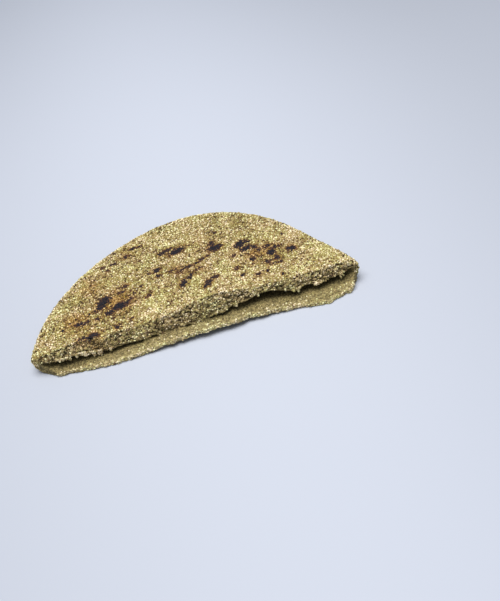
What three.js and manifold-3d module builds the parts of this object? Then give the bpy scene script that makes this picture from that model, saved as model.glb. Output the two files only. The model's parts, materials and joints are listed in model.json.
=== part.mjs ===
// Half of a round pocket flatbread, cut straight across, lying on its flat underside.
// X runs along the cut, Y from the cut to the back of the rim, Z up. Millimetres.

import * as THREE from 'three';
import { mergeVertices } from 'three/addons/utils/BufferGeometryUtils.js';
import { ImprovedNoise } from 'three/addons/math/ImprovedNoise.js';
import Module from 'manifold-3d';

const { clamp, degToRad, lerp, smoothstep } = THREE.MathUtils;

// The whole round bread: its middle lies a little in front of the cut, and its outline is
// a circle with a few slow lobes, as hand-patted dough has.
const BREAD_RADIUS = 86.2;
const BREAD_MIDDLE_X = -0.7;
const BREAD_MIDDLE_Y = -5.2;
const OUTLINE_LOBES = [
  { count: 2, swing: 2.0, turn: 20.5 },
  { count: 3, swing: 5.8, turn: -29.4 },
  { count: 4, swing: 2.5, turn: -29.0 },
];

// The section through the rim: widest at RIM_HEIGHT, rolled over above, tucked in below.
// The underside is made BASE_TRIM too deep and then cut flat.
const RIM_HEIGHT = 8.2;
const CRUST_INSET = 5.5;
const BASE_INSET = 6.0;
const BASE_TRIM = 0.15;

// The crust above: level in the middle, lower towards the rim, with soft swells and grit.
const CRUST_HEIGHT = 13.6;
const CRUST_FALL = 2.4;
const CRUST_SWELL = 0.7;
const SWELL_LENGTH = 34;
const GRIT_HEIGHT = 0.45;
const GRIT_LENGTH = 4.4;

// Along the cut the crust dips and swells as [x, height] says, and this fades behind it.
const CREST = [
  [-86, 10.6],
  [-64, 13.4],
  [-36, 11.8],
  [-23, 12.7],
  [7, 17.1],
  [36, 13.8],
  [62, 12.8],
  [76, 13.8],
  [86, 12.4],
];
const CREST_REACH = 26;

// The hump under the middle of the cut, which lifts both layers off the flat.
const HUMP_X = 5;
const HUMP_RISE = 3;
const HUMP_HALF_LENGTH = 52;
const HUMP_HALF_DEPTH = 42;

// The cut through the upper layer: its crumb leans out towards the foot, torn into crags
// that run along the cut.
const CRUMB_LEAN = 0.58;
const CRAG_DEPTH = 1.7;
const CRAG_LENGTH = 6.5;
const CRAG_HEIGHT = 2.6;
const CRAG_FREE_EDGE = 2.4;

// The lower layer: a thin floor that stands out in front of the upper one as a ragged lip,
// and climbs near the rim, where the two layers are joined.
const FLOOR_HEIGHT = 3.2;
const LIP_THINNING = 1.1;
const LIP_THINNING_REACH = 5;
const SEAM_RISE = 4.0;
const SEAM_START = 0.84;
const RAG_DEPTH = 1.2;
const RAG_LENGTH = 3.4;
const LIP_EDGE = [
  [-95, 9],
  [-85, 0],
  [-72, -6.6],
  [-52, -9.2],
  [-22, -9.2],
  [8, -9.6],
  [30, -8.4],
  [46, -9.4],
  [64, -12.4],
  [76, -9.6],
  [84, -1],
  [95, 8],
];

// The pocket between the layers: its wall at the two tips and at the back, and how far
// apart the layers stand along the mouth, deeper in, and where the pocket ends in the rim.
const WALL_AT_LEFT = 5;
const WALL_AT_RIGHT = 3.5;
const WALL_AT_BACK = 9;
const MOUTH_GAP = [
  [-84, 3.0],
  [-66, 4.2],
  [-44, 2.1],
  [-18, 1.0],
  [6, 1.4],
  [22, 4.0],
  [37, 5.6],
  [49, 3.8],
  [56, 4.1],
  [64, 3.4],
  [75, 4.8],
  [84, 3.8],
];
const INNER_GAP = 3.6;
const INNER_WIDENING = 0.8;
const MOUTH_DEPTH = 4;
const INNER_DEPTH = 20;
const EDGE_GAP_AT_LEFT = 1.6;
const EDGE_GAP_AT_RIGHT = 3.4;
const EDGE_GAP_CHANGE_X = 50;
const POCKET_EDGE_START = 0.9;

// How finely each surface is divided.
const CRUST_STEPS = 58;
const RIM_STEPS = 6;
const POCKET_STEPS = 30;
const CUT_STEPS = 92;
const CRUMB_ROWS = 10;
const LIP_ROWS = 8;

// The blocks that stand for what the knife took away reach past the bread on every side.
const CUT_REACH = 95;
const CUT_FRONT = -100;
const CUT_TOP = 22;
const CUT_BOTTOM = -6;
const SPLIT_CLEARANCE = 0.3;

// Each kind of unevenness reads its own slice of the same three-dimensional noise.
const NOISE_SLICE = { swell: 3.3, grit: 8.1, crags: 1.7, crumbs: 5.2, rags: 6.4 };
const noise = new ImprovedNoise();
const wasm = await Module();
wasm.setup();

function unevenness(kind, p, q) {
  return noise.noise(p, q, NOISE_SLICE[kind]);
}

// A value that passes smoothly through [x, value] knots.
function along(knots, x) {
  const last = knots.length - 1;
  if (x <= knots[0][0]) return knots[0][1];
  if (x >= knots[last][0]) return knots[last][1];
  const next = knots.findIndex(([knotX]) => knotX > x);
  const [x0, value0] = knots[next - 1];
  const [x1, value1] = knots[next];
  return lerp(value0, value1, smoothstep(x, x0, x1));
}

function outlineRadius(angle) {
  let radius = BREAD_RADIUS;
  for (const { count, swing, turn } of OUTLINE_LOBES) {
    radius += swing * Math.cos(count * (angle - degToRad(turn)));
  }
  return radius;
}

// One square face of a box becomes a round one: its edge lands on the unit circle.
function discFromSquare(a, b) {
  const p = a * Math.sqrt(1 - (b * b) / 2);
  const q = b * Math.sqrt(1 - (a * a) / 2);
  return { share: Math.hypot(p, q), angle: Math.atan2(q, p) };
}

// 1 at the middle of the hump, 0 outside its ellipse.
function humpShape(x, y) {
  const across = (x - HUMP_X) / HUMP_HALF_LENGTH;
  const deep = (y - BREAD_MIDDLE_Y) / HUMP_HALF_DEPTH;
  const inside = 1 - across * across - deep * deep;
  return inside > 0 ? inside * inside : 0;
}

function humpRise(x, y) {
  return HUMP_RISE * humpShape(x, y);
}

function crustHeight(x, y, share) {
  const fall = CRUST_FALL * share ** 4;
  const swell = CRUST_SWELL * unevenness('swell', x / SWELL_LENGTH, y / SWELL_LENGTH);
  const grit = GRIT_HEIGHT * unevenness('grit', x / GRIT_LENGTH, y / GRIT_LENGTH);
  const open = CRUST_HEIGHT - fall + swell;
  const fromCut = y / CREST_REACH;
  return lerp(open, along(CREST, x), Math.exp(-fromCut * fromCut)) + grit;
}

function seamRise(x, y) {
  const across = x - BREAD_MIDDLE_X;
  const deep = y - BREAD_MIDDLE_Y;
  const share = Math.hypot(across, deep) / outlineRadius(Math.atan2(deep, across));
  return SEAM_RISE * smoothstep(share, SEAM_START, 1);
}

function floorHeight(x, y) {
  return FLOOR_HEIGHT + humpRise(x, y) + seamRise(x, y);
}

function lipThinning(x, y) {
  const toEdge = y - along(LIP_EDGE, x);
  return LIP_THINNING * (1 - smoothstep(toEdge, 0, LIP_THINNING_REACH));
}

function pocketGap(x, y, share) {
  const mouth = along(MOUTH_GAP, x);
  const inner = Math.max(mouth + INNER_WIDENING, INNER_GAP);
  const gap = lerp(mouth, inner, smoothstep(y, MOUTH_DEPTH, INNER_DEPTH));
  const rightward = smoothstep(x, -EDGE_GAP_CHANGE_X, EDGE_GAP_CHANGE_X);
  const edgeGap = lerp(EDGE_GAP_AT_LEFT, EDGE_GAP_AT_RIGHT, rightward);
  const edge = smoothstep(share, POCKET_EDGE_START, 1);
  return lerp(gap, Math.min(gap, edgeGap), edge);
}

// The torn crumb face of the upper layer, and the torn edge of the lip.
function crumbFaceY(x, z) {
  const depth = along(CREST, x) - z;
  const coarse = unevenness('crags', x / CRAG_LENGTH, z / CRAG_HEIGHT);
  const fine = unevenness('crumbs', (2 * x) / CRAG_LENGTH, (2 * z) / CRAG_HEIGHT);
  const torn = smoothstep(depth, -CRAG_FREE_EDGE, CRAG_FREE_EDGE);
  return CRUMB_LEAN * -depth + CRAG_DEPTH * torn * (coarse + fine / 2);
}

function lipEdgeY(x, z) {
  return along(LIP_EDGE, x) + RAG_DEPTH * unevenness('rags', x / RAG_LENGTH, z / RAG_LENGTH);
}

// Bends a box with corners at +-1 by moving each of its points, and makes it a solid.
function bentBox(stepsX, stepsY, stepsZ, move) {
  const geometry = new THREE.BoxGeometry(2, 2, 2, stepsX, stepsY, stepsZ);
  geometry.deleteAttribute('normal');
  geometry.deleteAttribute('uv');
  const position = geometry.attributes.position;
  for (let i = 0; i < position.count; i += 1) {
    const [x, y, z] = move(position.getX(i), position.getY(i), position.getZ(i));
    position.setXYZ(i, x, y, z);
  }
  const merged = mergeVertices(geometry);
  return new wasm.Manifold(
    new wasm.Mesh({
      numProp: 3,
      vertProperties: new Float32Array(merged.attributes.position.array),
      triVerts: new Uint32Array(merged.index.array),
    }),
  );
}

// The whole round bread, before the cut.
function wholeBread() {
  return bentBox(CRUST_STEPS, CRUST_STEPS, RIM_STEPS, (a, b, c) => {
    const { share, angle } = discFromSquare(a, b);
    const turn = ((1 - c) * Math.PI) / 2;
    const inset = c >= 0 ? CRUST_INSET : BASE_INSET;
    const edge = outlineRadius(angle) - inset;
    const reach = share * edge + inset * Math.sin(turn);
    const x = reach * Math.cos(angle) + BREAD_MIDDLE_X;
    const y = reach * Math.sin(angle) + BREAD_MIDDLE_Y;
    if (c < 0) {
      const rise = (RIM_HEIGHT + BASE_TRIM) * (1 + Math.cos(turn)) - BASE_TRIM;
      return [x, y, rise + humpRise(x, y)];
    }
    const edgeX = share * edge * Math.cos(angle) + BREAD_MIDDLE_X;
    const edgeY = share * edge * Math.sin(angle) + BREAD_MIDDLE_Y;
    const crust = crustHeight(edgeX, edgeY, share);
    const rise = RIM_HEIGHT + (crust - RIM_HEIGHT) * Math.cos(turn);
    return [x, y, rise];
  });
}

// All that reaches below the surface that the bread lies on.
function belowBase() {
  return bentBox(1, 1, 1, (a, b, c) => {
    return [a * CUT_REACH, b * CUT_REACH, c < 0 ? CUT_BOTTOM : 0];
  });
}

// What the knife took from the upper layer: all in front of its leaning crumb face.
function frontOfCrumb() {
  return bentBox(CUT_STEPS, 1, CRUMB_ROWS, (a, b, c) => {
    const x = a * CUT_REACH;
    const z = lerp(floorHeight(x, 0) + SPLIT_CLEARANCE, CUT_TOP, (c + 1) / 2);
    const y = b > 0 ? crumbFaceY(x, z) : CUT_FRONT;
    return [x, y, z];
  });
}

// What lies in front of the lip.
function frontOfLip() {
  return bentBox(CUT_STEPS, 1, LIP_ROWS, (a, b, c) => {
    const x = a * CUT_REACH;
    const z = lerp(CUT_BOTTOM, CUT_TOP, (c + 1) / 2);
    const y = b > 0 ? lipEdgeY(x, z) : CUT_FRONT;
    return [x, y, z];
  });
}

// The hollow between the two layers, open along the whole cut.
function pocket() {
  return bentBox(POCKET_STEPS, POCKET_STEPS, 1, (a, b, c) => {
    const { share, angle } = discFromSquare(a, b);
    const leftward = (1 - Math.cos(angle)) / 2;
    const backward = clamp(Math.sin(angle), 0, 1);
    const wallAtTip = lerp(WALL_AT_RIGHT, WALL_AT_LEFT, leftward);
    const wall = lerp(wallAtTip, WALL_AT_BACK, backward);
    const reach = share * (outlineRadius(angle) - wall);
    const x = reach * Math.cos(angle) + BREAD_MIDDLE_X;
    const y = reach * Math.sin(angle) + BREAD_MIDDLE_Y;
    const floor = floorHeight(x, y);
    return [x, y, c < 0 ? floor - lipThinning(x, y) : floor + pocketGap(x, y, share)];
  });
}

// A solid as a three.js geometry.
function geometryOf(solid) {
  const mesh = solid.getMesh();
  const geometry = new THREE.BufferGeometry();
  geometry.setAttribute('position', new THREE.BufferAttribute(mesh.vertProperties, 3));
  geometry.setIndex(new THREE.BufferAttribute(mesh.triVerts, 1));
  geometry.computeVertexNormals();
  return geometry;
}

const restingBread = wholeBread().subtract(belowBase());
const cutBread = restingBread.subtract(frontOfCrumb()).subtract(frontOfLip());
const halfGeometry = geometryOf(cutBread.subtract(pocket()));
halfGeometry.computeBoundingBox();

const bread = new THREE.MeshStandardMaterial({
  color: 0xa99869,
  roughness: 0.9,
  metalness: 0,
});
const half = new THREE.Mesh(halfGeometry, bread);
half.name = 'bread_half';

// The origin is the middle of the footprint, on the surface that the bread lies on.
const box = halfGeometry.boundingBox;
const middle = box.getCenter(new THREE.Vector3());
half.position.set(-middle.x, -middle.y, -box.min.z);

const flatbread = new THREE.Group();
flatbread.name = 'half_flatbread';
flatbread.add(half);

export default flatbread;
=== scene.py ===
# Half of a round, griddled pocket flatbread, cut straight across. The loaf is one piece:
# a gritty crust with scorched spots, and a coarse, torn crumb with the pocket open along
# the cut. Grits, bran and torn crumbs are scattered over it as pieces of their own.
import json
import math
import random

import bmesh
import bpy
from mathutils import Matrix, Vector, noise
from mathutils.bvhtree import BVHTree

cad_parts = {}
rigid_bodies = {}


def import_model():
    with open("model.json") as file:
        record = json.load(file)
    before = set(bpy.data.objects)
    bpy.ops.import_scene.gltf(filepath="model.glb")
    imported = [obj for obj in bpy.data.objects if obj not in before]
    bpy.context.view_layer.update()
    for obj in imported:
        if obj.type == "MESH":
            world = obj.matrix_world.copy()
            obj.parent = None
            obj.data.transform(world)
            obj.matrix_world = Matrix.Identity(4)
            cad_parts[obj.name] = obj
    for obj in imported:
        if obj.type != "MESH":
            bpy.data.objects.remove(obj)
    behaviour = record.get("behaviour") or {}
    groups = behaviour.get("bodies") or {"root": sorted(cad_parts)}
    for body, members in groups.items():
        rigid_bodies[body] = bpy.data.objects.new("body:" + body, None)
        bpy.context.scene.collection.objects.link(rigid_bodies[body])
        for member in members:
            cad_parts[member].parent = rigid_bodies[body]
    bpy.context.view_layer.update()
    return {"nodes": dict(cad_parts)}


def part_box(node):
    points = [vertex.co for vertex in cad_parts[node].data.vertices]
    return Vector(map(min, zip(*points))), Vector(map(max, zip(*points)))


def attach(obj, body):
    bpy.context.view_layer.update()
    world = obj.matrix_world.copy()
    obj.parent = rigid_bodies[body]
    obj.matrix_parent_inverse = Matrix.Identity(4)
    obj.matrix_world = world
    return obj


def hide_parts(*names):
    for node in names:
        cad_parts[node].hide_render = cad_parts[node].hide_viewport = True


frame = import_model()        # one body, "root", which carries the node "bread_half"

bl_info = {
    "name": "Batbout half",
    "version": (1, 0, 0),
    "blender": (4, 5, 0),
    "location": "3D View > Sidebar > Bread",
    "description": "Dresses the cut half of a gritty griddled pocket flatbread",
    "category": "Object",
}

NODE = "bread_half"
LOW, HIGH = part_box(NODE)
MM = 0.001

# Places on the bread, in metres. X runs along the cut and Y from the cut to the back.
CREST_Y = -35.8 * MM          # the crust ends here, at the top of the cut
CUT_REACH = 1.0 * MM          # the fine net reaches this far behind the crest
THINNED_HIDDEN = 0.85         # share of the faces left out where they are hidden
THINNED_CRUST = 0.55          # and under the grits on the crust
GRAIN_KINDS = 5               # each sort of grain has this many shapes
PORE = 2.6 * MM               # size of the large pores in the torn crumb
SMALL_PORE = 1.3 * MM
CRACK = 1.9 * MM              # spacing of the cracks that run along the cut
FRINGE = 0.9 * MM             # how far the upper layer's lower edge is torn up and down
CREST_HIGHLIGHT = 2.4 * MM        # the crust is painted paler this close to the cut, as a highlight along the crest
UNDERSIDE = -0.7              # what faces down more than this is the underside
BASE_TOP = 1.5 * MM           # and it lies under this height
BASE_FRONT = 12.0 * MM        # it is thinned from here on, behind the lip's foremost point
NET_FRONT = 6.0 * MM          # the rest is thinned from here on, behind the crest

# The lamp, and the painted light and shade on the floor, in metres.
LAMP_PLACE = (-0.08, -0.08, 1.05)
LAMP_SIDE = 0.8
LAMP_COLOR = (1.0, 0.985, 0.96)
FLOOR_BACK, FLOOR_FRONT = 0.22, -0.18      # painted shade: the floor darkens a little between these two along Y
FLOOR_MIDDLE, FLOOR_REACH = 0.03, 0.24     # and away from the middle, up to the reach, along X

# Scorch marks: x, y, half length along x, half width along y (mm), and depth from 0.5,
# brown, to 1, black. The long side turns towards the back by SCORCH_LEAN for each mm.
SCORCH_LEAN = 0.2
SCORCHES = (
    (-44, -10, 3.4, 2.6, 1.0), (-46.5, -13.5, 2.4, 2.6, 0.9), (-43, -20.6, 2.2, 2.0, 1.0),
    (-37, -17.5, 3.2, 2.4, 1.0), (-33, -16.6, 2.6, 1.7, 0.86), (-30.5, -14.8, 2.0, 1.4, 0.8),
    (-58.5, -23.2, 2.4, 1.8, 0.88), (-54, -23.6, 2.8, 1.5, 0.76), (-40, -32.2, 1.8, 2.0, 0.74),
    (-53.5, -34.6, 3.6, 1.8, 0.88), (-58, -35.0, 2.6, 1.2, 0.74), (-34.5, -7, 2.2, 1.3, 0.66),
    (-33, -3.6, 3.2, 1.2, 0.6), (-21.3, -16.8, 1.8, 1.4, 0.72), (-32.4, -29.6, 1.4, 1.2, 0.66),
    (-52.7, -18, 0.9, 0.9, 0.8), (-48.7, -22.6, 1.8, 1.4, 0.64), (-50, -16.2, 1.6, 1.1, 0.62),
    (-67, -24.3, 1.0, 0.9, 0.85), (-63, -20.6, 0.8, 0.8, 0.8), (-23.5, -7.4, 1.0, 0.9, 0.84),
    (-28.2, -11.4, 1.1, 0.9, 0.7), (-23, 29.4, 2.5, 1.6, 0.88), (-19.6, 29.2, 2.0, 1.3, 0.76),
    (-35.6, 19.6, 1.8, 1.1, 0.95), (-28, 22.8, 1.3, 1.1, 0.8), (-41.2, 19.8, 1.4, 1.0, 0.74),
    (-39, 15.6, 1.4, 1.0, 0.7), (-13.8, 1.2, 1.7, 1.8, 1.0), (-14, -3.6, 1.5, 1.5, 0.92),
    (-18.4, 0.8, 1.0, 1.0, 0.74), (22.4, 21.6, 1.2, 1.0, 0.95), (56.5, 3.6, 0.8, 0.8, 0.8),
    (-0.3, 13.8, 4.2, 2.6, 1.0), (-5.3, 17, 2.3, 1.7, 0.88), (-8.4, 15.2, 2.5, 1.8, 0.82),
    (4, 15.4, 2.4, 1.3, 0.76), (19.7, 6.9, 3.6, 2.8, 1.0), (19.3, 11.4, 1.7, 2.6, 0.95),
    (32.2, 2.8, 2.8, 2.6, 1.0), (34.2, 5.6, 2.4, 1.8, 0.9), (35.2, -2, 3.2, 1.7, 1.0),
    (39.3, -2.2, 2.0, 1.8, 0.92), (37.4, 4, 1.2, 1.0, 0.84), (45.5, -4.6, 2.5, 1.6, 0.72),
    (49.7, -7.2, 2.6, 1.8, 0.74), (46.5, -11.4, 2.2, 2.3, 1.0), (47.8, -17.2, 1.6, 2.2, 0.88),
    (42.5, -18.3, 1.8, 1.2, 0.78), (45, -21.6, 2.7, 1.1, 0.76), (48.6, -21.2, 1.2, 1.0, 0.84),
    (57, -12, 2.5, 2.7, 0.96), (36.1, -13.4, 1.6, 1.8, 0.82), (41.2, -6.2, 1.2, 1.4, 0.84),
    (34.8, -17.3, 1.0, 1.0, 0.78), (26.8, -5.7, 1.6, 1.0, 0.76), (26, -17.4, 1.8, 1.6, 0.74),
    (27.8, -24.3, 1.8, 1.2, 0.82), (35.2, -26.6, 1.4, 1.2, 0.78), (40.2, -26, 1.0, 0.9, 0.78),
    (46.7, -31.2, 1.0, 0.9, 0.84), (10.6, -0.6, 2.7, 1.3, 0.8), (7.6, -3, 1.6, 1.1, 0.66),
    (-6, -3, 2.7, 1.4, 0.8), (-1, -5.6, 2.5, 1.4, 0.84), (2.6, -3.8, 2.3, 1.3, 0.86),
    (7.3, -9.3, 2.5, 1.1, 0.76), (3, -12.2, 1.5, 1.3, 0.86), (1.2, -14.6, 1.5, 1.6, 0.95),
    (-1.9, -16.8, 1.9, 2.2, 1.0), (-3.4, -19.4, 1.5, 1.9, 0.88), (13.5, -21.2, 1.9, 1.6, 0.84),
    (9.8, -23.7, 2.1, 1.7, 0.84), (8.6, -26.8, 2.2, 1.6, 0.78), (14.1, 0.8, 1.0, 0.9, 0.78),
)
# Golden toasting round the scorches: x, y, radius (mm) and strength.
TOASTS = (
    (-38, -14, 20, 0.9), (42, -8, 22, 0.7), (-60, -22, 18, 0.8), (-26, 26, 16, 0.6),
    (3, -8, 18, 0.5), (-50, 4, 20, 0.6), (14, 14, 20, 0.4), (-52, -35, 10, 0.9),
)
HALO = 0.75                   # strength of the toasting close round a scorch mark
# Pale floury patches: x, y, radius (mm) and strength.
PALES = (
    (76, -18, 20, 0.9), (62, 4, 18, 0.6), (-24, -29, 15, 0.9), (24, -31, 22, 0.8),
    (54, -31, 20, 0.9), (8, 37, 18, 0.5), (-10, 8, 9, 0.5), (-70, -32, 8, 0.5),
)
# Scorch marks and toasting on the underside, which lay on the same griddle.
BASE_SCORCHES = (
    (-48, -8, 6, 4, 0.95), (-20, 14, 5, 4, 0.9), (6, -14, 7, 4, 1.0), (30, 10, 5, 5, 0.85),
    (52, -10, 6, 3.5, 0.95), (-6, 32, 5, 3, 0.75), (-30, -22, 4, 3, 0.8), (22, -30, 4, 3, 0.7),
)
BASE_TOASTS = (
    (-45, -6, 24, 0.9), (-8, 12, 26, 0.8), (18, -14, 24, 0.9), (48, -2, 24, 0.8),
)
# Clumps of crumb that hang over the pocket's mouth: x, width and drop (mm).
TATTERS = (
    (-71, 3.0, 0.8), (-66.8, 3.6, 2.0), (-62.4, 4.4, 1.4), (-58.8, 3.4, 2.6), (-54.8, 3.6, 3.4),
    (-51.8, 2.0, 2.6), (-47, 2.6, 1.2), (18, 3.0, 1.0), (21.5, 2.0, 1.6), (31, 1.6, 0.8),
    (46, 2.4, 0.6), (52, 2.0, 0.8), (61.5, 3.0, 0.5), (74.6, 1.4, 2.2),
)


def ramp(value, low, high):
    """Smooth step: 0 at low, 1 at high, and the other way round where low is larger."""
    share = max(0.0, min(1.0, (value - low) / (high - low)))
    return share * share * (3.0 - 2.0 * share)


def grain(point, size, seed=0.0, stretch=(1.0, 1.0, 1.0)):
    """Smooth noise from -1 to 1 with lumps of about this size, longer where stretched."""
    spot = Vector((point[i] / (size * stretch[i]) + seed for i in range(3)))
    return noise.noise(spot)


def pore(point, size, seed):
    """Depth of the pores of about this size: 1 in the middle of one, 0 on the walls."""
    gaps, middles = noise.voronoi(Vector(c / size + seed for c in point))
    radius = 0.36 + 0.22 * noise.noise(middles[0] * 1.7)
    return ramp(gaps[0], radius, 0.35 * radius)


# ---------------------------------------------------------------- sizes and colours

def metres(name, description, default, **limits):
    """A setting in metres."""
    return bpy.props.FloatProperty(
        name=name, description=description, default=default, unit="LENGTH", **limits)


def degrees(name, description, default):
    """A setting that is an angle, given in degrees."""
    return bpy.props.FloatProperty(
        name=name, description=description, default=math.radians(default),
        subtype="ANGLE", unit="ROTATION")


def tint(name, description, default):
    """A setting that is a colour."""
    return bpy.props.FloatVectorProperty(
        name=name, description=description, default=default,
        size=3, min=0, max=1, subtype="COLOR")


class LoafSettings(bpy.types.PropertyGroup):
    net: metres(
        "Net", "Side of the small faces that the loaf is rebuilt from", 0.64 * MM, min=0.4 * MM)
    crust_relief: metres("Crust relief", "Height of the lumps in the crust", 0.38 * MM)
    crumb_relief: metres("Crumb relief", "Height of the crags in the cut crumb", 1.25 * MM)
    tear_relief: metres("Tear relief", "How far the thin lower edge is torn in and out", 0.9 * MM)
    crust: tint("Crust", "Colour of the crust between the grits", (0.30, 0.215, 0.082))
    # Dark specks between the grits, and also the colour of the painted shade in the crumb's pores
    # and deep in the pocket.
    speck_and_shade: tint(
        "Crevice", "Colour of the darkest specks between the grits", (0.045, 0.027, 0.011))
    crumb: tint("Crumb", "Colour of the torn crumb on the cut", (0.355, 0.272, 0.124))
    lining: tint("Lining", "Colour of the crumb inside the pocket", (0.235, 0.187, 0.078))


class GritSettings(bpy.types.PropertyGroup):
    coarse: metres("Coarse grit", "Width of the coarse grits", 1.15 * MM)
    medium: metres("Medium grit", "Width of the medium grits", 0.85 * MM)
    fine: metres("Fine grit", "Width of the fine grits", 0.65 * MM)
    bran: metres("Bran", "Width of the dark bran flecks", 0.8 * MM)
    pale: tint("Pale grit", "Colour of the palest grits", (0.90, 0.82, 0.57))
    cream: tint("Cream grit", "Colour of the common grits", (0.51, 0.43, 0.21))
    golden: tint("Golden grit", "Colour of the browner grits", (0.31, 0.225, 0.080))
    husk: tint("Husk", "Colour of the bran flecks", (0.055, 0.030, 0.013))


class ScorchSettings(bpy.types.PropertyGroup):
    toast: tint("Toast", "Tint of the golden toasted crust", (0.84, 0.64, 0.38))
    brown: tint("Brown", "Colour of the lighter scorch marks", (0.090, 0.037, 0.021))
    char: tint("Char", "Colour of the black scorch marks", (0.013, 0.012, 0.017))


class StageSettings(bpy.types.PropertyGroup):
    floor_side: metres("Floor side", "Side of the square floor", 8.0)
    floor: tint("Floor", "Colour of the floor", (0.460, 0.490, 0.562))
    sky: tint("Sky", "Colour of the light from all round", (0.80, 0.86, 0.97))
    sky_strength: bpy.props.FloatProperty(
        name="Sky strength", description="Strength of the light from all round", default=0.34)
    lamp_power: bpy.props.FloatProperty(
        name="Lamp power", description="Power of the soft overhead lamp",
        default=16.5, unit="POWER")
    aim: bpy.props.FloatVectorProperty(
        name="Aim", description="Point that the camera looks at",
        default=(26.1 * MM, -41.3 * MM, 11.0 * MM), size=3, subtype="XYZ", unit="LENGTH")
    distance: metres("Distance", "From the camera to the point that it looks at", 397.2 * MM)
    elevation: degrees("Elevation", "Angle that the camera looks down by", 40.0)
    azimuth: degrees("Azimuth", "Angle that the camera is turned round the bread by", -7.48)
    roll: degrees("Roll", "Angle that the camera leans sideways by", -12.0)
    lens: bpy.props.FloatProperty(
        name="Lens", description="Focal length on a 36 mm wide sensor, in millimetres",
        default=47.92)


# ------------------------------------------------------------------ shader helpers

def add(tree, kind, **values):
    """Adds a node and sets its own values."""
    made = tree.nodes.new(kind)
    for key, value in values.items():
        setattr(made, key, value)
    return made


def feed(tree, socket, source):
    """Links a source socket, or sets a constant number or colour."""
    if isinstance(source, bpy.types.NodeSocket):
        tree.links.new(source, socket)
    elif socket.type == "RGBA":
        socket.default_value = (*source, 1.0) if len(source) == 3 else source
    else:
        socket.default_value = source


def maths(tree, operation, first, second=0.0):
    """Arithmetic on one or two values."""
    made = add(tree, "ShaderNodeMath", operation=operation)
    feed(tree, made.inputs[0], first)
    feed(tree, made.inputs[1], second)
    return made.outputs[0]


def blend(tree, share, first, second, kind="MIX"):
    """Mixes two colours."""
    made = add(tree, "ShaderNodeMix", data_type="RGBA", blend_type=kind)
    feed(tree, made.inputs["Factor"], share)
    feed(tree, made.inputs[6], first)
    feed(tree, made.inputs[7], second)
    return made.outputs[2]


def step(tree, value, low, high, bottom=0.0, top=1.0):
    """Smooth step of a value between two bounds."""
    made = add(tree, "ShaderNodeMapRange", interpolation_type="SMOOTHSTEP")
    feed(tree, made.inputs["Value"], value)
    feed(tree, made.inputs["From Min"], low)
    feed(tree, made.inputs["From Max"], high)
    feed(tree, made.inputs["To Min"], bottom)
    feed(tree, made.inputs["To Max"], top)
    return made.outputs["Result"]


def cloud(tree, place, size, detail=2.0, rough=0.55):
    """Noise from 0 to 1 with lumps of about this size, in metres."""
    made = add(tree, "ShaderNodeTexNoise")
    feed(tree, made.inputs["Vector"], place)
    feed(tree, made.inputs["Scale"], 1.0 / size)
    feed(tree, made.inputs["Detail"], detail)
    feed(tree, made.inputs["Roughness"], rough)
    return made.outputs["Fac"]


def graded(tree, value, stops):
    """Colour that changes with a value, through (place, colour) stops."""
    made = add(tree, "ShaderNodeValToRGB")
    bar = made.color_ramp
    while len(bar.elements) < len(stops):
        bar.elements.new(0.5)
    for element, (place, color) in zip(bar.elements, stops):
        element.position = place
        element.color = (*color, 1.0)
    feed(tree, made.inputs["Fac"], value)
    return made.outputs["Color"]


def reading(tree, name):
    """A value that is kept on the mesh."""
    return add(tree, "ShaderNodeAttribute", attribute_name=name).outputs["Fac"]


def new_group(name, inputs, outputs):
    """An empty shader group with its sockets, and its two end nodes."""
    tree = bpy.data.node_groups.new(name, "ShaderNodeTree")
    for label, kind in inputs:
        tree.interface.new_socket(name=label, in_out="INPUT", socket_type=kind)
    for label, kind in outputs:
        tree.interface.new_socket(name=label, in_out="OUTPUT", socket_type=kind)
    return tree, add(tree, "NodeGroupInput"), add(tree, "NodeGroupOutput")


def use(tree, group, **values):
    """Places a group in a tree and feeds its inputs, named with _ for a space."""
    made = add(tree, "ShaderNodeGroup", node_tree=group)
    for label, value in values.items():
        feed(tree, made.inputs[label.replace("_", " ")], value)
    return made


def scorch_group():
    """Toasts and chars a plain colour where the mesh's toast and char values say so."""
    name = "Griddle Scorch"
    if name in bpy.data.node_groups:
        return bpy.data.node_groups[name]
    looks = bpy.context.scene.batbout_scorch
    tree, start, end = new_group(
        name,
        (("Color", "NodeSocketColor"), ("Place", "NodeSocketVector"),
         ("Toast", "NodeSocketFloat"), ("Char", "NodeSocketFloat"),
         ("Ragged", "NodeSocketFloat")),
        (("Color", "NodeSocketColor"),))
    place = start.outputs["Place"]
    ragged = start.outputs["Ragged"]
    streaky = add(tree, "ShaderNodeVectorMath", operation="MULTIPLY")
    feed(tree, streaky.inputs[0], place)
    streaky.inputs[1].default_value = (0.78, 1.05, 1.0)
    haze = maths(tree, "SUBTRACT", cloud(tree, streaky.outputs[0], 3.0 * MM, 3.0), 0.5)
    nick = maths(tree, "SUBTRACT", cloud(tree, streaky.outputs[0], 0.9 * MM, 2.0), 0.5)
    toast = maths(tree, "ADD", start.outputs["Toast"], maths(tree, "MULTIPLY", haze, 1.1))
    toast = step(tree, toast, 0.12, 1.0)
    torn = maths(tree, "ADD", haze, maths(tree, "MULTIPLY", nick, 1.8))
    edge = maths(tree, "MULTIPLY", torn, ragged)
    char = maths(tree, "ADD", start.outputs["Char"], edge)
    golden = blend(tree, 1.0, start.outputs["Color"], looks.toast, "MULTIPLY")
    color = blend(tree, toast, start.outputs["Color"], golden)
    color = blend(tree, step(tree, char, 0.24, 0.48), color, looks.brown)
    color = blend(tree, step(tree, char, 0.55, 0.76), color, looks.char)
    feed(tree, end.inputs["Color"], color)
    return tree


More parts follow.
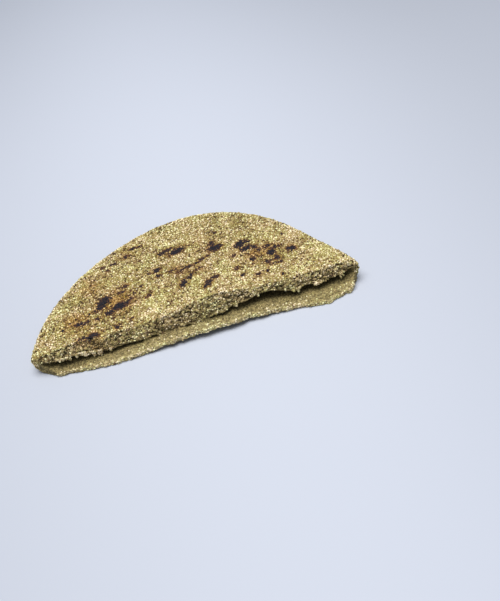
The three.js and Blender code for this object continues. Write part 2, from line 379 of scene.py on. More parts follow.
def mottle_group():
    """Uneven tone of a grainy surface, and the height that goes with it."""
    name = "Grain Mottle"
    if name in bpy.data.node_groups:
        return bpy.data.node_groups[name]
    tree, start, end = new_group(
        name,
        (("Place", "NodeSocketVector"), ("Contrast", "NodeSocketFloat")),
        (("Tone", "NodeSocketFloat"), ("Height", "NodeSocketFloat")))
    place = start.outputs["Place"]
    fine = cloud(tree, place, 0.55 * MM, 2.0, 0.6)
    coarse = cloud(tree, place, 2.4 * MM, 3.0, 0.6)
    height = maths(tree, "ADD", maths(tree, "MULTIPLY", fine, 0.6),
                   maths(tree, "MULTIPLY", coarse, 0.4))
    swing = maths(tree, "MULTIPLY", maths(tree, "SUBTRACT", height, 0.5),
                  start.outputs["Contrast"])
    feed(tree, end.inputs["Tone"], maths(tree, "ADD", swing, 1.0))
    feed(tree, end.inputs["Height"], height)
    return tree


def drift_group():
    """Broad patches where the crust is paler with flour, or darker and more golden. The Pale
    input also carries the painted highlight along the crest.
    """
    name = "Crust Drift"
    if name in bpy.data.node_groups:
        return bpy.data.node_groups[name]
    tree, start, end = new_group(
        name,
        (("Place", "NodeSocketVector"), ("Pale", "NodeSocketFloat"),
         ("Toast", "NodeSocketFloat")),
        (("Shift", "NodeSocketFloat"), ("Tint", "NodeSocketColor")))
    place = start.outputs["Place"]
    broad = maths(tree, "SUBTRACT", cloud(tree, place, 14.0 * MM, 2.0), 0.5)
    near = maths(tree, "SUBTRACT", cloud(tree, place, 4.5 * MM, 2.0), 0.5)
    shift = maths(tree, "ADD", maths(tree, "MULTIPLY", broad, 0.7),
                  maths(tree, "MULTIPLY", near, 0.6))
    shift = maths(tree, "ADD", shift, maths(tree, "MULTIPLY", start.outputs["Pale"], 0.2))
    shift = maths(tree, "SUBTRACT", shift, maths(tree, "MULTIPLY", start.outputs["Toast"], 0.16))
    slow = maths(tree, "MULTIPLY", cloud(tree, place, 11.0 * MM, 1.0), 0.4)
    quick = maths(tree, "MULTIPLY", cloud(tree, place, 1.4 * MM, 1.0), 0.6)
    green = step(tree, maths(tree, "ADD", slow, quick), 0.42, 0.58)
    feed(tree, end.inputs["Shift"], shift)
    feed(tree, end.inputs["Tint"], blend(tree, green, (1.05, 0.985, 1.0), (0.94, 1.0, 0.77)))
    return tree


def new_material(name, roughness):
    """A material with a plain dry shader. Returns the material, its tree and the shader."""
    made = bpy.data.materials.new(name)
    made.use_nodes = True
    tree = made.node_tree
    shader = tree.nodes["Principled BSDF"]
    shader.inputs["Roughness"].default_value = roughness
    shader.inputs["Specular IOR Level"].default_value = 0.25
    return made, tree, shader


def bump(tree, shader, height, depth):
    """Roughens the shader's surface by a height, up to this depth."""
    made = add(tree, "ShaderNodeBump")
    made.inputs["Strength"].default_value = 1.0
    made.inputs["Distance"].default_value = depth
    feed(tree, made.inputs["Height"], height)
    feed(tree, shader.inputs["Normal"], made.outputs["Normal"])


def scaled(tree, color, tone):
    """A colour times a tone."""
    made = add(tree, "ShaderNodeVectorMath", operation="SCALE")
    feed(tree, made.inputs[0], color)
    feed(tree, made.inputs["Scale"], tone)
    return made.outputs[0]


def place_of(tree):
    """Where a point is on its piece, in metres."""
    return add(tree, "ShaderNodeTexCoord").outputs["Object"]


def loaf_material():
    """Crust, torn crumb and pocket lining in one, told apart by the mesh's values, with painted
    shade in the crumb's pores and deep in the pocket.
    """
    looks = bpy.context.scene.batbout_loaf
    grits = bpy.context.scene.batbout_grits
    made, tree, shader = new_material("crust_and_crumb", 0.86)
    place = place_of(tree)
    mottle = use(tree, mottle_group(), Place=place, Contrast=1.5)
    inner = reading(tree, "inner")
    pocket = reading(tree, "pocket")

    toast = reading(tree, "toast")
    drift = use(tree, drift_group(), Place=place, Pale=reading(tree, "pale"), Toast=toast)
    speck = maths(tree, "ADD", cloud(tree, place, 1.0 * MM, 1.0),
                  maths(tree, "MULTIPLY", drift.outputs["Shift"], 0.35))
    crust = graded(tree, speck, (
        (0.36, looks.speck_and_shade), (0.46, looks.crust), (0.58, looks.crust), (0.70, grits.cream)))
    crust = blend(tree, 1.0, crust, drift.outputs["Tint"], "MULTIPLY")
    scorched = use(tree, scorch_group(), Color=crust, Place=place, Toast=toast,
                   Char=reading(tree, "char"), Ragged=1.5)

    crumb = blend(tree, pocket, looks.crumb, looks.lining)
    layers = step(tree, cloud(tree, place, 1.1 * MM, 3.0, 0.7), 0.38, 0.62, 0.45, 1.3)
    crumb = scaled(tree, crumb, layers)
    torn = maths(tree, "MULTIPLY", reading(tree, "torn_room"), 0.8)
    crumb = blend(tree, torn, crumb, grits.cream)
    # Painted shade: the crumb is darkened in noise pits and in its carved pores and low crags.
    pit_shade = step(tree, cloud(tree, place, 0.95 * MM, 1.0), 0.44, 0.34)
    pit_shade = maths(tree, "MULTIPLY", pit_shade, step(tree, pocket, 0.0, 1.0, 0.9, 0.6))
    pores = maths(tree, "MAXIMUM", reading(tree, "hollow"), pit_shade)
    crumb = blend(tree, maths(tree, "MULTIPLY", pores, 0.85), crumb, looks.speck_and_shade)
    # Painted shade: the pocket's lining is darkened the further it lies behind the mouth.
    deep = maths(tree, "MULTIPLY", reading(tree, "deep"), maths(tree, "MULTIPLY", pocket, 0.3))
    crumb = blend(tree, deep, crumb, looks.speck_and_shade)

    color = blend(tree, inner, scorched.outputs["Color"], crumb)
    color = scaled(tree, color, mottle.outputs["Tone"])
    feed(tree, shader.inputs["Base Color"], color)
    bump(tree, shader, mottle.outputs["Height"], 0.5 * MM)
    return made


def grit_material(name, stops, contrast=0.8):
    """Grains whose tone and scorching are kept on each grain."""
    made, tree, shader = new_material(name, 0.62)
    place = place_of(tree)
    tone, toast = reading(tree, "tone"), reading(tree, "toast")
    drift = use(tree, drift_group(), Place=place, Pale=reading(tree, "pale"), Toast=toast)
    mottle = use(tree, mottle_group(), Place=place, Contrast=contrast)
    plain = graded(tree, maths(tree, "ADD", tone, drift.outputs["Shift"]), stops)
    plain = blend(tree, 1.0, plain, drift.outputs["Tint"], "MULTIPLY")
    spared = maths(tree, "MULTIPLY", maths(tree, "SUBTRACT", tone, 0.45), 0.55)
    char = maths(tree, "SUBTRACT", reading(tree, "char"), spared)
    scorched = use(tree, scorch_group(), Color=plain, Place=place, Toast=toast,
                   Char=char, Ragged=1.2)
    color = scaled(tree, scorched.outputs["Color"], mottle.outputs["Tone"])
    feed(tree, shader.inputs["Base Color"], color)
    bump(tree, shader, mottle.outputs["Height"], 0.2 * MM)
    return made


def floor_material():
    """A pale floor with painted light and shade: a little darker towards the front and the sides.
    """
    looks = bpy.context.scene.batbout_stage
    made, tree, shader = new_material("pale_floor", 0.75)
    place = place_of(tree)
    split = add(tree, "ShaderNodeSeparateXYZ")
    feed(tree, split.inputs[0], place)
    # Painted light and shade: a little darker towards the front and away from the middle.
    front = step(tree, split.outputs["Y"], FLOOR_BACK, FLOOR_FRONT, 1.04, 0.98)
    off = maths(tree, "ABSOLUTE", maths(tree, "SUBTRACT", split.outputs["X"], FLOOR_MIDDLE))
    side = step(tree, off, 0.0, FLOOR_REACH, 1.03, 0.85)
    tone = maths(tree, "MULTIPLY", front, side)
    feed(tree, shader.inputs["Base Color"], scaled(tree, looks.floor, tone))
    return made


# -------------------------------------------------------------------- mesh helpers

def place_piece(name, mesh, material):
    """Puts a finished mesh in the scene as a piece that stands for the bread."""
    piece = bpy.data.objects.new(name, mesh)
    bpy.context.scene.collection.objects.link(piece)
    mesh.materials.clear()
    mesh.materials.append(material)
    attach(piece, "root")
    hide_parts(NODE)


def applied(mesh, name, fill):
    """The mesh after the modifier that fill sets up on it."""
    carrier = bpy.data.objects.new(name, mesh)
    bpy.context.scene.collection.objects.link(carrier)
    fill(carrier)
    bpy.context.view_layer.update()
    shaped = carrier.evaluated_get(bpy.context.evaluated_depsgraph_get())
    made = bpy.data.meshes.new_from_object(shaped)
    made.name = name
    bpy.data.objects.remove(carrier)
    bpy.data.meshes.remove(mesh)
    return made


def write_values(mesh, values):
    """Keeps lists of point values on the mesh, by name."""
    for name, numbers in values.items():
        mesh.attributes.new(name, "FLOAT", "POINT").data.foreach_set("value", numbers)


# ---------------------------------------------------------------------------- loaf

class Cut:
    """Where the crust ends and the pocket's mouth lies, felt for all along the cut."""
    STEP = 1.0 * MM                      # between the places along the cut
    FEEL = 0.15 * MM                     # between two rays at one place
    BROW = 2.4 * MM                      # the crust ends within this of the crest
    AHEAD, DROP = 0.5 * MM, 0.42 * MM    # it ends where it falls by DROP over AHEAD
    TOP = 11.0 * MM                      # the mouth lies under this height
    BEHIND = 1.5 * MM                    # an edge lies no further behind the crest than this
    SEAM = 6.0 * MM                      # height of the seam, where there is no mouth

    def __init__(self, tree):
        self.edges = []
        count = int((HIGH.x - LOW.x) / self.STEP)
        for i in range(count + 1):
            x = LOW.x + i * self.STEP
            self.edges.append((*self.mouth(tree, x), self.brow(tree, x)))

    def brow(self, tree, x):
        """Where the crust breaks off to the cut, felt for from above."""
        for k in range(int(2.0 * self.BROW / self.FEEL)):
            y = CREST_Y + self.BROW - k * self.FEEL
            here, ahead = (tree.ray_cast(Vector((x, at, 0.05)), Vector((0, 0, -1)))[0]
                           for at in (y, y - self.AHEAD))
            if here and ahead and here.z - ahead.z > self.DROP:
                return ahead.lerp(here, 0.5)
        return Vector((x, CREST_Y, self.SEAM))

    def mouth(self, tree, x):
        """The upper layer's edge over the mouth, and the lower layer straight under it.

        The lower layer is met first, because the bread arches off the floor."""
        met_lower, floor = False, None
        for k in range(1, int(self.TOP / self.FEEL)):
            z = k * self.FEEL
            hit = tree.ray_cast(Vector((x, LOW.y - 0.01, z)), Vector((0, 1, 0)))[0]
            if hit is None:
                break
            closed = hit.y < CREST_Y + self.BEHIND
            if closed and floor is not None:
                return hit, Vector((x, hit.y, floor))
            if closed:
                met_lower = True
            elif met_lower and floor is None:
                floor = z
        seam = Vector((x, CREST_Y, self.SEAM))
        return seam, seam

    def at(self, x):
        """The two edges of the mouth at this place along the cut, and the end of the crust."""
        share = (x - LOW.x) / self.STEP
        i = max(0, min(len(self.edges) - 2, int(share)))
        share = max(0.0, min(1.0, share - i))
        return tuple(a.lerp(b, share) for a, b in zip(self.edges[i], self.edges[i + 1]))


def find_cut():
    """The cut's profile, read off the CAD solid."""
    mesh = frame["nodes"][NODE].data
    faces = [tuple(face.vertices) for face in mesh.polygons]
    return Cut(BVHTree.FromPolygons([v.co for v in mesh.vertices], faces))


def rebuilt_net():
    """The CAD mesh rebuilt as an even net."""
    looks = bpy.context.scene.batbout_loaf
    shaper = bmesh.new()
    shaper.from_mesh(frame["nodes"][NODE].data)
    bmesh.ops.remove_doubles(shaper, verts=shaper.verts, dist=0.001 * MM)
    mesh = bpy.data.meshes.new("merged")
    shaper.to_mesh(mesh)
    shaper.free()

    def remesh(carrier):
        rebuild = carrier.modifiers.new("net", "REMESH")
        rebuild.mode = "VOXEL"
        rebuild.voxel_size = looks.net
        rebuild.use_smooth_shade = True
    return applied(mesh, "net", remesh)


def covered(tree, point, normal):
    """Whether another layer lies straight over this side of the surface."""
    way = Vector((0, 0, 1.0 if normal.z >= 0 else -1.0))
    start = point + normal * (0.2 * MM) + way * (0.15 * MM)
    return tree.ray_cast(start, way, 0.03)[0] is not None


def thinned(mesh):
    """Fewer faces in the back of the pocket, on the underside and under the grits."""
    shaper = bmesh.new()
    shaper.from_mesh(mesh)
    tree = BVHTree.FromBMesh(shaper)
    shaper.normal_update()
    hidden, crust = [], []
    for v in shaper.verts:
        base = v.normal.z < UNDERSIDE and v.co.z < BASE_TOP and v.co.y > LOW.y + BASE_FRONT
        back = v.co.y > CREST_Y + NET_FRONT
        if base or (back and covered(tree, v.co, v.normal)):
            hidden.append(v.index)
        elif back:
            crust.append(v.index)
    shaper.free()
    left_out = THINNED_HIDDEN * len(hidden) + THINNED_CRUST * len(crust)

    def thin(carrier):
        spare = carrier.vertex_groups.new(name="spare")
        spare.add(hidden, 1.0, "REPLACE")
        spare.add(crust, 0.5, "REPLACE")
        reduce = carrier.modifiers.new("thin", "DECIMATE")
        reduce.vertex_group = "spare"
        reduce.ratio = 1.0 - left_out / len(mesh.vertices)
    return applied(mesh, "thinned", thin)


def refined_cut(mesh):
    """A finer net along the cut, for its crags and torn edges."""
    shaper = bmesh.new()
    shaper.from_mesh(mesh)
    limit = CREST_Y + CUT_REACH
    edges = [e for e in shaper.edges if max(v.co.y for v in e.verts) < limit
             and max(v.co.z for v in e.verts) > 0.4 * MM]
    bmesh.ops.subdivide_edges(shaper, edges=edges, cuts=1, use_grid_fill=True)
    bmesh.ops.triangulate(shaper, faces=shaper.faces)
    shaper.normal_update()
    return shaper


def mark_field(x, y, marks):
    """How deep in a scorch mark a place is, 1 in its middle, and in the halo round it."""
    field, halo = 0.0, 0.0
    for mx, my, length, width, depth in marks:
        dx, dy = x / MM - mx, y / MM - my
        if abs(dx) + abs(dy) > 4.0 * (length + width):
            continue
        gap = math.hypot(dx / length, (dy - SCORCH_LEAN * dx) / width)
        field = max(field, depth * ramp(gap, 1.75, 0.45))
        halo = max(halo, HALO * ramp(gap, 2.4, 1.0))
    return field, halo


def patch_field(x, y, patches):
    """Strength of the soft round patches at a place."""
    field = 0.0
    for px, py, radius, strength in patches:
        gap = math.hypot(x / MM - px, y / MM - py)
        field = max(field, strength * ramp(gap, radius, 0.0))
    return field


def loaf_values(shaper, cut):
    """The point values that tell crust, crumb, pocket, scorches and patches apart, and where
    shade and a highlight are painted.
    """
    tree = BVHTree.FromBMesh(shaper)
    names = ("inner", "pocket", "deep", "face", "lip", "char", "toast", "pale", "hollow", "free")
    values = {name: [0.0] * len(shaper.verts) for name in names}
    for i, v in enumerate(shaper.verts):
        x, y, z = v.co
        upper, lower, brow = cut.at(x)
        inside = covered(tree, v.co, v.normal) and z > 0.5 * MM
        behind = y - brow.y + 0.3 * MM * grain(v.co, 1.4 * MM)
        past = ramp(behind, 0.2 * MM, -0.25 * MM)
        middle = (upper.z + lower.z) / 2
        over = ramp(z, middle - 0.3 * MM, middle + 0.3 * MM)
        lip_edge = past * (1.0 - over) * ramp(v.normal.z, -0.75, -0.35)
        face = past * over
        inner = 1.0 if inside else max(face, lip_edge)
        top = v.normal.z > -0.3
        marks, toasts = (SCORCHES, TOASTS) if top else (BASE_SCORCHES, BASE_TOASTS)
        values["inner"][i] = inner
        values["pocket"][i] = 1.0 if inside else lip_edge
        # Painted shade: how far behind the mouth a point of the pocket lies. The lining is
        # darkened by it.
        values["deep"][i] = ramp(y - upper.y, -0.8 * MM, 5.0 * MM) if inner > 0 else 0.0
        values["free"][i] = ramp(z - upper.z, -0.2 * MM, 2.2 * MM)
        values["face"][i] = 0.0 if inside else face
        values["lip"][i] = 0.0 if inside else lip_edge
        values["char"][i], halo = mark_field(x, y, marks)
        values["toast"][i] = max(halo, patch_field(x, y, toasts))
        values["pale"][i] = patch_field(x, y, PALES) if top else 0.3
        # Painted highlight: the crust is made paler in a band along the crest of the cut.
        if top:
            crest_highlight = 0.9 * ramp(abs(behind), CREST_HIGHLIGHT, 0.4 * MM)
            values["pale"][i] = max(values["pale"][i], crest_highlight)
    return values


def carve(shaper, values):
    """Moves the points: lumps in the crust, crags in the crumb, a torn lower edge."""
    looks = bpy.context.scene.batbout_loaf
    hollow = values["hollow"]
    moved = []
    for i, v in enumerate(shaper.verts):
        spot, normal = v.co, v.normal
        face, lip = values["face"][i], values["lip"][i]
        crust = 1.0 - values["inner"][i]
        lumps = 0.6 * grain(spot, 5.0 * MM, 3.1) + 0.4 * grain(spot, 1.8 * MM, 7.7)
        move = normal * (looks.crust_relief * crust * lumps)
        if face > 0.0:
            crags = (0.45 * grain(spot, 3.0 * MM, 1.3, (1.8, 1.0, 0.8))
                     + 0.40 * grain(spot, 1.3 * MM, 5.9, (1.4, 1.0, 0.9))
                     + 0.25 * grain(spot, 0.7 * MM, 9.2))
            hole = max(pore(spot, PORE, 3.3), 0.7 * pore(spot, SMALL_PORE, 8.8))
            broken = ramp(grain(spot, 4.0 * MM, 61.0), -0.15, 0.1)
            crack = broken * ramp(abs(grain(spot, CRACK, 71.0, (2.4, 1.0, 0.7))), 0.24, 0.07)
            hole = max(hole, crack)
            free = values["free"][i]
            inward = min(0.0, crags) - 0.9 * hole
            outward = max(0.0, crags) * (0.35 + 0.65 * free)
            move += normal * (looks.crumb_relief * face * (inward + outward))
            ragged = 0.7 * grain(spot, 1.6 * MM, 51.0) + 0.5 * grain(spot, 0.8 * MM, 57.0)
            move += Vector((0, 0, FRINGE * face * (1.0 - free) * ragged))
            # Painted shade: how much the crumb is darkened here, most in the pores and low crags.
            # It also keeps crumbs out of the pores.
            hollow[i] = face * max(hole, 0.6 * ramp(crags, 0.0, -0.4))
        if lip > 0.0:
            edge = ramp(spot.y, CREST_Y - 4.0 * MM, CREST_Y - 8.0 * MM)
            tear = 0.4 * grain(spot, 3.0 * MM, 14.0) + 0.6 * grain(spot, 0.9 * MM, 2.0)
            move += normal * (0.22 * MM * lip * grain(spot, 1.3 * MM, 31.0))
            move += Vector((0.3 * tear, tear, 0.25 * tear)) * (looks.tear_relief * lip * edge)
        moved.append(spot + move)
    for v, spot in zip(shaper.verts, moved):
        v.co = spot
        v.co.z = max(0.0, spot.z)


def scatter_room(shaper, values):
    """How thickly each kind of grain may lie at each point."""
    grit, crumbs, torn, lip = [], [], [], []
    for i, v in enumerate(shaper.verts):
        base = 0.2 if v.normal.z < UNDERSIDE else 1.0
        grit.append(base * ramp(values["inner"][i], 0.6, 0.1))
        crumbs.append(values["face"][i] * (1.0 - 0.9 * values["hollow"][i]))
        front = ramp(v.normal.y, -0.1, -0.5) * ramp(v.co.y, CREST_Y - 5 * MM, CREST_Y - 7 * MM)
        torn.append(values["lip"][i] * front)
        up = ramp(v.normal.z, 0.5, 0.8)
        lip.append(values["lip"][i] * up * ramp(values["deep"][i], 0.3, 0.0))
    return {"grit_room": grit, "crumb_room": crumbs, "torn_room": torn, "lip_room": lip}


class BATBOUT_OT_loaf(bpy.types.Operator):
    """Builds the loaf: the cut half with its crust, torn crumb and open pocket"""
    bl_idname = "batbout.loaf"
    bl_label = "Loaf"

    def execute(self, context):
        net = thinned(rebuilt_net())
        cut = find_cut()
        shaper = refined_cut(net)
        values = loaf_values(shaper, cut)
        carve(shaper, values)
        shaper.normal_update()
        values.update(scatter_room(shaper, values))
        shaper.to_mesh(net)
        shaper.free()
        write_values(net, values)
        for face in net.polygons:
            face.use_smooth = True
        place_piece("loaf", net, loaf_material())
        return {"FINISHED"}


# ------------------------------------------------------------------- scattered grains

def grain_shapes(label, rings, jitter, long, flat, seed):
    """A few rough grains of unit width, half sunk below their own base."""
    draw = random.Random(seed)
    box = bpy.data.collections.new(label)
    bpy.context.scene.collection.children.link(box)
    for k in range(GRAIN_KINDS):
        shaper = bmesh.new()
        bmesh.ops.create_icosphere(shaper, subdivisions=rings, radius=0.5)
        for v in shaper.verts:
            v.co *= 1.0 + jitter * (grain(v.co, 0.45, seed + k) + draw.uniform(-0.4, 0.4))
        width = draw.uniform(0.75, 1.0)
        bmesh.ops.scale(shaper, vec=(long, width, flat), verts=shaper.verts)
        bmesh.ops.recalc_face_normals(shaper, faces=shaper.faces)
        mesh = bpy.data.meshes.new(f"{label}_{k}")
        shaper.to_mesh(mesh)
        shaper.free()
        box.objects.link(bpy.data.objects.new(mesh.name, mesh))
    return box


def clear_shapes(box):
    """Removes the grains that were only there to be scattered."""
    for each in list(box.objects):
        mesh = each.data
        bpy.data.objects.remove(each)
        bpy.data.meshes.remove(mesh)
    bpy.data.collections.remove(box)


def scatter_tree(box, room, gap, crowd, width, spread, tilt, seed):
    """Nodes that lay grains on a surface, turned along it, each with its own size."""
    tree = bpy.data.node_groups.new("Scatter", "GeometryNodeTree")
    tree.interface.new_socket(name="Geometry", in_out="INPUT", socket_type="NodeSocketGeometry")
    tree.interface.new_socket(name="Geometry", in_out="OUTPUT", socket_type="NodeSocketGeometry")
    start, end = add(tree, "NodeGroupInput"), add(tree, "NodeGroupOutput")

    share = add(tree, "GeometryNodeInputNamedAttribute", data_type="FLOAT")
    share.inputs["Name"].default_value = room
    points = add(tree, "GeometryNodeDistributePointsOnFaces", distribute_method="POISSON")
    points.inputs["Distance Min"].default_value = gap
    points.inputs["Density Max"].default_value = crowd / (gap * gap)
    points.inputs["Seed"].default_value = seed
    feed(tree, points.inputs["Mesh"], start.outputs[0])
    feed(tree, points.inputs["Density Factor"], share.outputs["Attribute"])

    tone = add(tree, "FunctionNodeRandomValue", data_type="FLOAT")
    tone.inputs["Seed"].default_value = seed + 1
    keep = add(tree, "GeometryNodeStoreNamedAttribute", data_type="FLOAT", domain="POINT")
    keep.inputs["Name"].default_value = "tone"
    feed(tree, keep.inputs["Geometry"], points.outputs["Points"])
    feed(tree, keep.inputs["Value"], tone.outputs[1])

    turn = add(tree, "FunctionNodeRandomValue", data_type="FLOAT_VECTOR")
    turn.inputs[0].default_value = (-tilt, -tilt, -math.pi)
    turn.inputs[1].default_value = (tilt, tilt, math.pi)
    turn.inputs["Seed"].default_value = seed + 2
    angle = add(tree, "FunctionNodeEulerToRotation")
    feed(tree, angle.inputs[0], turn.outputs[0])
    lie = add(tree, "FunctionNodeRotateRotation", rotation_space="LOCAL")
    feed(tree, lie.inputs[0], points.outputs["Rotation"])
    feed(tree, lie.inputs[1], angle.outputs[0])

    size = add(tree, "FunctionNodeRandomValue", data_type="FLOAT")
    size.inputs[2].default_value = width * (1.0 - spread)
    size.inputs[3].default_value = width * (1.0 + spread)
    size.inputs["Seed"].default_value = seed + 3

    shapes = add(tree, "GeometryNodeCollectionInfo")
    shapes.inputs["Collection"].default_value = box
    shapes.inputs["Separate Children"].default_value = True
    shapes.inputs["Reset Children"].default_value = True
    lay = add(tree, "GeometryNodeInstanceOnPoints")
    lay.inputs["Pick Instance"].default_value = True
    feed(tree, lay.inputs["Points"], keep.outputs["Geometry"])
    feed(tree, lay.inputs["Instance"], shapes.outputs[0])
    feed(tree, lay.inputs["Rotation"], lie.outputs[0])
    feed(tree, lay.inputs["Scale"], size.outputs[1])
    real = add(tree, "GeometryNodeRealizeInstances")
    feed(tree, real.inputs[0], lay.outputs[0])
    feed(tree, end.inputs[0], real.outputs[0])
    return tree


def scatter(name, material, room, gap, width, seed, crowd=3.0, spread=0.3, tilt=0.35,
            rings=1, jitter=0.3, long=1.15, flat=0.62):
    """A piece of many loose grains that lie on the loaf where room lets them."""
    box = grain_shapes(name + "_shapes", rings, jitter, long, flat, seed)

    def lay(carrier):
        spread_nodes = scatter_tree(box, room, gap, crowd, width, spread, tilt, seed)
        carrier.modifiers.new("scatter", "NODES").node_group = spread_nodes
    mesh = applied(bpy.data.objects["loaf"].data.copy(), name, lay)
    clear_shapes(box)
    for v in mesh.vertices:
        v.co.z = max(0.0, v.co.z)
    for face in mesh.polygons:
        face.use_smooth = True
    place_piece(name, mesh, material)


class BATBOUT_OT_grits(bpy.types.Operator):
    """Lays coarse, medium and fine grits over the crust"""
    bl_idname = "batbout.grits"
    bl_label = "Grits"

    def execute(self, context):
        looks = context.scene.batbout_grits
        plain = grit_material("plain_grit", (
            (0.06, looks.husk), (0.15, looks.golden), (0.51, looks.cream), (0.88, looks.pale)))
        brown = grit_material("brown_grit", (
            (0.12, looks.husk), (0.24, looks.golden), (0.62, looks.golden), (0.95, looks.cream)))
        scatter("grits_coarse", plain, "grit_room", 1.15 * looks.coarse, looks.coarse,
                seed=11, spread=0.35, flat=0.75)
        scatter("grits_medium", plain, "grit_room", 1.15 * looks.medium, looks.medium,
                seed=17, flat=0.75)
        scatter("grits_fine", brown, "grit_room", 1.43 * looks.fine, looks.fine,
                seed=23, flat=0.75)
        return {"FINISHED"}


class BATBOUT_OT_bran(bpy.types.Operator):
    """Scatters dark bran flecks over the crust"""
    bl_idname = "batbout.bran"
    bl_label = "Bran flecks"

    def execute(self, context):
        looks = context.scene.batbout_grits
        husk = grit_material("bran", ((0.0, looks.husk), (0.85, looks.husk), (1.0, looks.golden)))
        scatter("bran_flecks", husk, "grit_room", 2.5 * looks.bran, looks.bran,
                seed=37, crowd=1.2, spread=0.45, jitter=0.55, flat=0.55)
        return {"FINISHED"}


class BATBOUT_OT_crumbs(bpy.types.Operator):
    """Lays torn crumbs on the cut, on the lip and along its torn edge"""
    bl_idname = "batbout.crumbs"
    bl_label = "Torn crumbs"

    def execute(self, context):
        looks = context.scene.batbout_loaf
        grits = context.scene.batbout_grits
        soft = grit_material("cut_crumb", (
            (0.14, looks.speck_and_shade), (0.34, looks.lining), (0.66, looks.crumb),
            (1.0, grits.pale)), 0.9)
        pale = grit_material("edge_crumb", (
            (0.0, looks.crumb), (0.35, grits.cream), (0.95, grits.pale)), 0.4)
        scatter("crumb_grains", soft, "crumb_room", 0.46 * MM, 0.66 * MM,
                seed=41, spread=0.5, tilt=0.9, jitter=0.45, long=1.2, flat=0.8)
        dull = grit_material("crumb_lump", (
            (0.1, looks.lining), (0.6, looks.crumb), (1.0, grits.cream)), 0.9)
        scatter("crumb_lumps", dull, "crumb_room", 2.0 * MM, 1.2 * MM,
                seed=43, spread=0.4, tilt=0.9, rings=2, jitter=0.6, long=1.3, flat=0.7)
        fine = grit_material("lip_crumb", (
            (0.06, looks.speck_and_shade), (0.22, looks.lining), (0.7, looks.crumb),
            (1.0, grits.cream)), 0.6)
        scatter("lip_crumbs", fine, "lip_room", 0.7 * MM, 0.5 * MM,
                seed=47, spread=0.4, tilt=0.6, jitter=0.45)
        scatter("edge_crumbs", pale, "torn_room", 0.6 * MM, 0.8 * MM,
                seed=53, spread=0.5, tilt=0.9, jitter=0.45, flat=0.8)
        return {"FINISHED"}


class BATBOUT_OT_tatters(bpy.types.Operator):
    """Hangs torn clumps of crumb from the upper layer, over the mouth"""
    bl_idname = "batbout.tatters"
    bl_label = "Tatters"

    # In millimetres: between strands, how deep one is rooted, and between its crumbs.
    SPREAD, ROOT, CLOSE = 0.75, 0.9, 0.42

    def strand(self, shaper, draw, root, length):
        """Crumbs that touch, from inside the upper layer down. Returns their tones."""
        tones = []
        spot = root + Vector((0, draw.uniform(-0.3, 0.3), self.ROOT)) * MM
        for _ in range(int(length / self.CLOSE) + 1):
            size = Vector((draw.uniform(0.32, 0.62) for _ in range(3))) * MM
            lump = Matrix.Translation(spot) @ Matrix.Diagonal((*size, 1.0))
            made = bmesh.ops.create_icosphere(shaper, subdivisions=2, radius=1.0, matrix=lump)
            tones += [draw.uniform(0.3, 0.95)] * len(made["verts"])
            wander = Vector((draw.uniform(-0.25, 0.25), draw.uniform(-0.2, 0.15), -self.CLOSE))
            spot = spot + wander * MM
        return tones

    def execute(self, context):
        looks = context.scene.batbout_loaf
        grits = context.scene.batbout_grits
        draw = random.Random(67)
        cut = find_cut()
        shaper = bmesh.new()
        tones = []
        for x, width, drop in TATTERS:
            strands = int(width / self.SPREAD) + 1
            for k in range(strands):
                across = width * ((k + 0.5) / strands - 0.5)
                short = 1.0 - 1.3 * abs(across) / width
                length = self.ROOT + drop * short * draw.uniform(0.4, 1.1)
                root = cut.at((x + across) * MM)[0]
                tones += self.strand(shaper, draw, root, length)
        for v in shaper.verts:
            away = v.normal * (0.3 * MM)
            v.co += away * (grain(v.co, 0.6 * MM, 4.4) + 0.6 * grain(v.co, 0.28 * MM, 8.1))
        mesh = bpy.data.meshes.new("tatters")
        shaper.to_mesh(mesh)
        shaper.free()
        write_values(mesh, {"tone": tones})
        crumb = grit_material("tattered_crumb", (
            (0.2, looks.lining), (0.5, looks.crumb), (0.95, grits.pale)), 1.0)
        place_piece("tatters", mesh, crumb)
        return {"FINISHED"}


# --------------------------------------------------------------------------- stage

def camera_matrix(looks):
    """Stands off from the aim by the two angles, then leans by the roll."""
    back = Vector((math.sin(looks.azimuth) * math.cos(looks.elevation),
                   -math.cos(looks.azimuth) * math.cos(looks.elevation),
                   math.sin(looks.elevation)))
    turn = Matrix.Rotation(looks.roll, 3, back) @ back.to_track_quat("Z", "Y").to_matrix()
    return Matrix.Translation(Vector(looks.aim) + back * looks.distance) @ turn.to_4x4()


def add_camera(looks):
    lens = bpy.data.cameras.new("camera")
    lens.lens = looks.lens
    lens.clip_start = 0.01
    camera = bpy.data.objects.new("camera", lens)
    camera.matrix_world = camera_matrix(looks)
    bpy.context.scene.collection.objects.link(camera)
    bpy.context.scene.camera = camera


def add_lamp(looks):
    """A square soft lamp overhead, which faces the bread."""
    light = bpy.data.lights.new("overhead", "AREA")
    light.size = LAMP_SIDE
    light.energy = looks.lamp_power
    light.color = LAMP_COLOR
    lamp = bpy.data.objects.new("overhead", light)
    turn = (-Vector(LAMP_PLACE)).to_track_quat("-Z", "Y").to_matrix().to_4x4()
    lamp.matrix_world = Matrix.Translation(LAMP_PLACE) @ turn
    bpy.context.scene.collection.objects.link(lamp)


def add_sky(looks):
    world = bpy.data.worlds.new("soft_studio")
    world.use_nodes = True
    sky = world.node_tree.nodes["Background"]
    sky.inputs["Color"].default_value = (*looks.sky, 1.0)
    sky.inputs["Strength"].default_value = looks.sky_strength
    bpy.context.scene.world = world


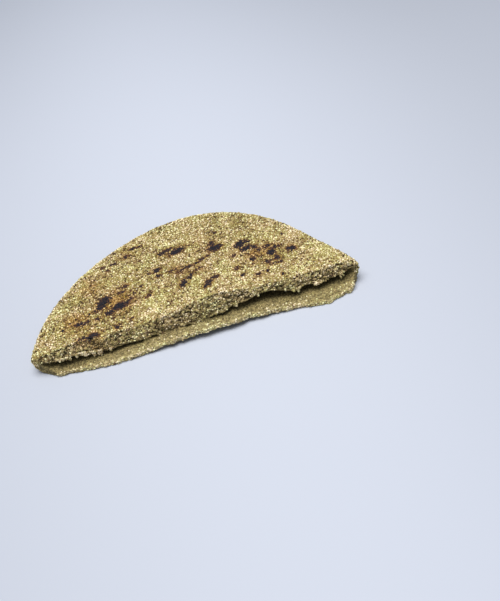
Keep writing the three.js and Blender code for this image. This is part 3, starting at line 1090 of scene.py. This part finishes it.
def add_floor(looks):
    shaper = bmesh.new()
    bmesh.ops.create_grid(shaper, x_segments=4, y_segments=4, size=looks.floor_side / 2)
    mesh = bpy.data.meshes.new("floor")
    shaper.to_mesh(mesh)
    shaper.free()
    mesh.materials.append(floor_material())
    floor = bpy.data.objects.new("floor", mesh)
    bpy.context.scene.collection.objects.link(floor)


class BATBOUT_OT_stage(bpy.types.Operator):
    """Sets the floor, the soft light and the camera"""
    bl_idname = "batbout.stage"
    bl_label = "Stage"

    def execute(self, context):
        looks = context.scene.batbout_stage
        add_floor(looks)
        add_sky(looks)
        add_lamp(looks)
        add_camera(looks)
        context.scene.view_settings.view_transform = "Standard"
        return {"FINISHED"}


class BATBOUT_PT_panel(bpy.types.Panel):
    """Lists the pieces of the bread, its sizes and its colours"""
    bl_idname = "BATBOUT_PT_panel"
    bl_label = "Batbout half"
    bl_space_type = "VIEW_3D"
    bl_region_type = "UI"
    bl_category = "Bread"

    def draw(self, context):
        for made in OPERATORS:
            self.layout.operator(made.bl_idname)
        for name, group in SETTINGS.items():
            box = self.layout.box()
            for key in group.__annotations__:
                box.prop(getattr(context.scene, name), key)


OPERATORS = (BATBOUT_OT_stage, BATBOUT_OT_loaf, BATBOUT_OT_grits, BATBOUT_OT_bran,
             BATBOUT_OT_crumbs, BATBOUT_OT_tatters)
SETTINGS = {
    "batbout_loaf": LoafSettings,
    "batbout_grits": GritSettings,
    "batbout_scorch": ScorchSettings,
    "batbout_stage": StageSettings,
}


def register():
    for group in SETTINGS.values():
        bpy.utils.register_class(group)
    for name, group in SETTINGS.items():
        setattr(bpy.types.Scene, name, bpy.props.PointerProperty(type=group))
    for made in (*OPERATORS, BATBOUT_PT_panel):
        bpy.utils.register_class(made)


def unregister():
    for made in reversed((*OPERATORS, BATBOUT_PT_panel)):
        bpy.utils.unregister_class(made)
    for name, group in SETTINGS.items():
        delattr(bpy.types.Scene, name)
        bpy.utils.unregister_class(group)


def main():
    register()
    bpy.ops.batbout.stage()
    bpy.ops.batbout.loaf()
    bpy.ops.batbout.grits()
    bpy.ops.batbout.bran()
    bpy.ops.batbout.crumbs()
    bpy.ops.batbout.tatters()


if __name__ == "__main__":
    main()
